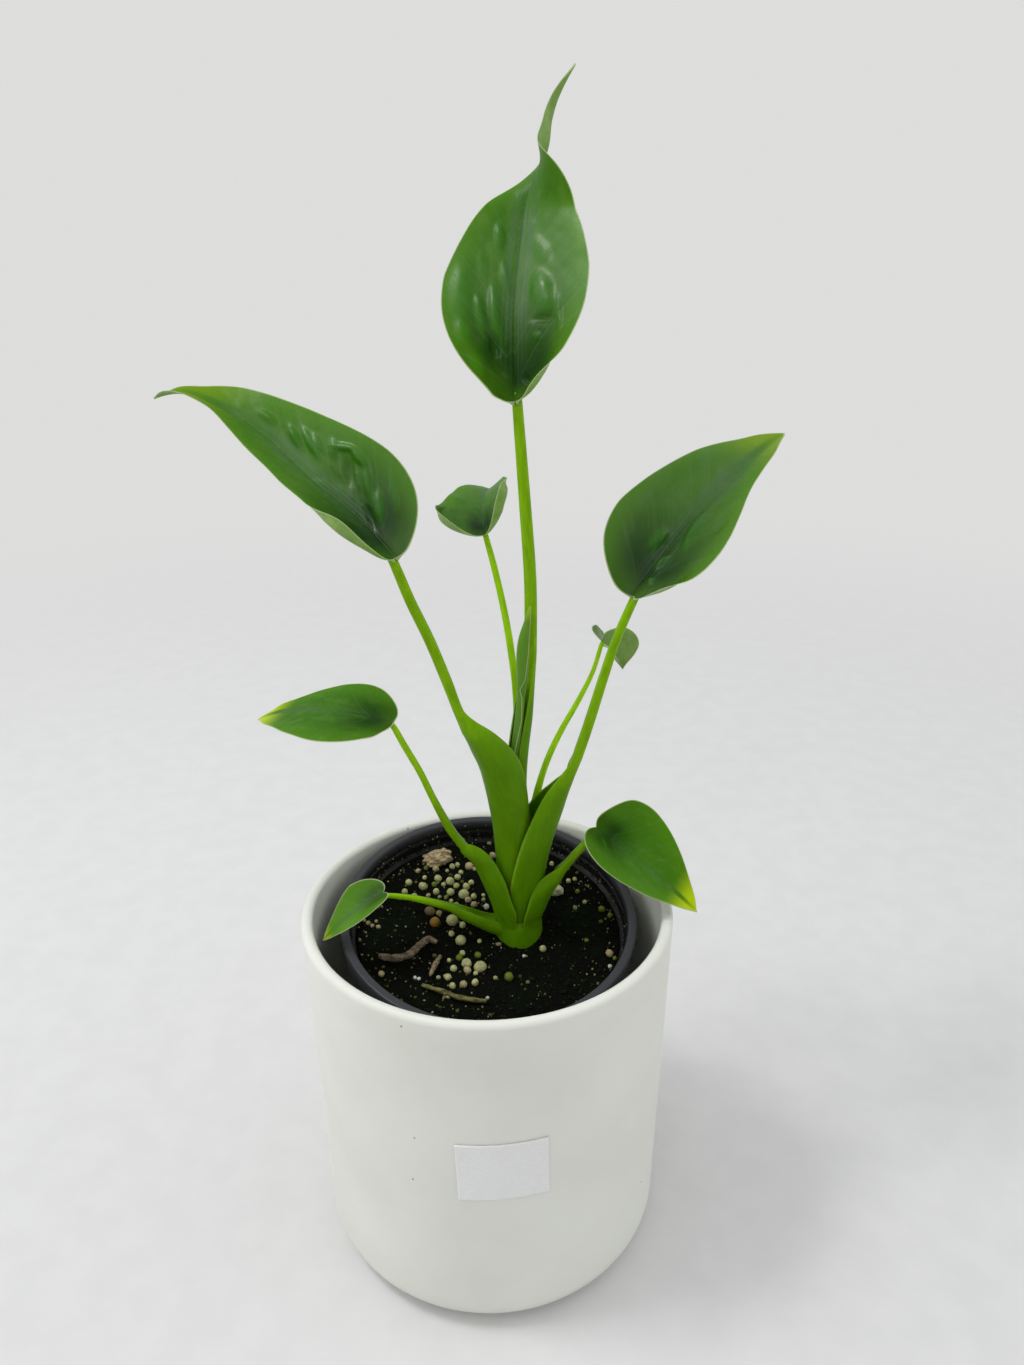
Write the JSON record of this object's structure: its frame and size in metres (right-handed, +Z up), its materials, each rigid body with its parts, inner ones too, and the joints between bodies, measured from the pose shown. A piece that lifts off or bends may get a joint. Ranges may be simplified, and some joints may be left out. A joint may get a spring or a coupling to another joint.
{
  "type": "potted alocasia",
  "caption": "Young alocasia with upright arrow-shaped leaves on sheathing stalks, in a black nursery pot that leans inside a plain round glazed cover pot.",
  "frame": {"origin": "middle of the cover pot's flat underside, where it rests", "axes": "+Z up along the cover pot's axis; -Y towards the front, where the label is; +X to the right seen from the front"},
  "size_m": [0.2275, 0.1623, 0.41],
  "materials": {
    "glaze": "satin",
    "label_paper": "matte",
    "black_plastic": "satin",
    "soil": "matte",
    "stalk_green": "satin",
    "blade_green": "satin",
    "bark": "matte",
    "root_brown": "matte"
  },
  "bodies": {
    "root": {"cover_pot": "glaze", "label": "label_paper", "nursery_pot": "black_plastic", "soil": "soil", "crown": "stalk_green", "stalk_left_tall": "stalk_green", "stalk_right_tall": "stalk_green", "stalk_top": "stalk_green", "stalk_left_low": "stalk_green", "stalk_right_low": "stalk_green", "stalk_left_front": "stalk_green", "stalk_mid_back": "stalk_green", "stalk_right_back": "stalk_green", "blade_left_tall": "blade_green", "blade_right_tall": "blade_green", "blade_top": "blade_green", "blade_left_low": "blade_green", "blade_right_low": "blade_green", "blade_left_front": "blade_green", "blade_mid_back": "blade_green", "blade_right_back": "blade_green", "new_leaf": "stalk_green", "bark_chip": "bark", "pale_stone": "bark", "root_piece": "root_brown", "twig": "root_brown", "splinter": "root_brown"}
  },
  "joints": []
}
